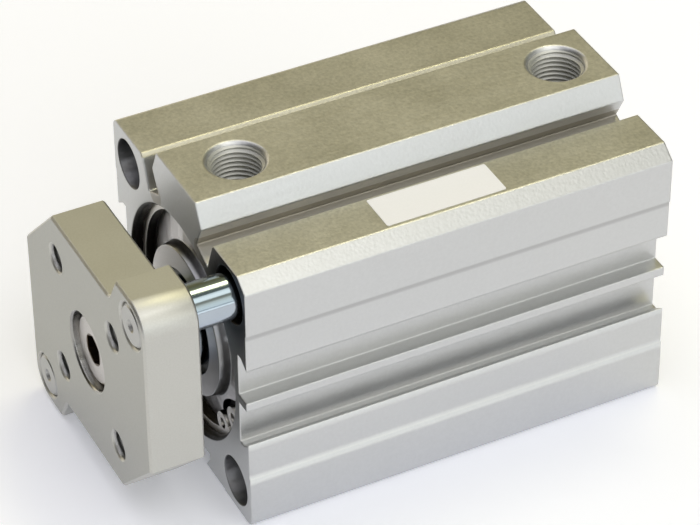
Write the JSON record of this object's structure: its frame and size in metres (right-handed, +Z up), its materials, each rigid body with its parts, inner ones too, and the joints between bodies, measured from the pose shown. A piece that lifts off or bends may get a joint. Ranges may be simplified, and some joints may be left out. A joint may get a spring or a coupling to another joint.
{
  "type": "guided compact pneumatic cylinder",
  "caption": "Guided compact pneumatic cylinder: slotted square barrel with air ports on a raised pad, and a sliding rod with guide rods and a notched end plate.",
  "frame": {"origin": "on the piston axis, at the front face of the barrel", "axes": "+X is the way the rod extends, +Z is up through the ports, +Y is the side of the upper guide rod"},
  "size_m": [0.097, 0.052, 0.0563],
  "materials": {
    "barrel": "fine bead-blasted and clear anodised extrusion, satin",
    "plate": "machined and clear anodised, satin",
    "cover": "turned and anodised, satin",
    "piston": "turned, bare",
    "chromed_rod": "ground and hard chromed, mirror",
    "spring_steel": "oiled spring steel, stamped",
    "screw_steel": "nickel plated",
    "bush": "sintered bearing bronze, oiled",
    "rubber": "matt nitrile rubber",
    "seal": "satin polyurethane",
    "wear_plastic": "filled bearing plastic",
    "magnet": "ferrite ring, dark grey"
  },
  "bodies": {
    "barrel": {"cylinder_body": "barrel", "front_cover": "cover", "front_cover_o_ring": "rubber", "rod_bush": "bush", "rod_seal": "seal", "front_circlip": "spring_steel", "front_bumper": "rubber", "rear_cover": "cover", "rear_cover_o_ring": "rubber", "rear_circlip": "spring_steel", "rear_bumper": "rubber", "guide_bush_upper": "bush", "guide_bush_lower": "bush"},
    "rod_unit": {"piston_rod": "chromed_rod", "piston": "piston", "piston_seal": "seal", "wear_ring": "wear_plastic", "magnet_ring": "magnet", "magnet_washer": "piston", "rod_o_ring": "rubber", "piston_screw": "screw_steel", "end_plate": "plate", "plate_screw": "screw_steel", "guide_rod_upper": "chromed_rod", "guide_rod_lower": "chromed_rod"}
  },
  "joints": [
    {"name": "rod_slide", "type": "slide", "parent": "barrel", "child": "rod_unit", "axis": [1, 0, 0], "range_m": [0, 0.04]}
  ]
}
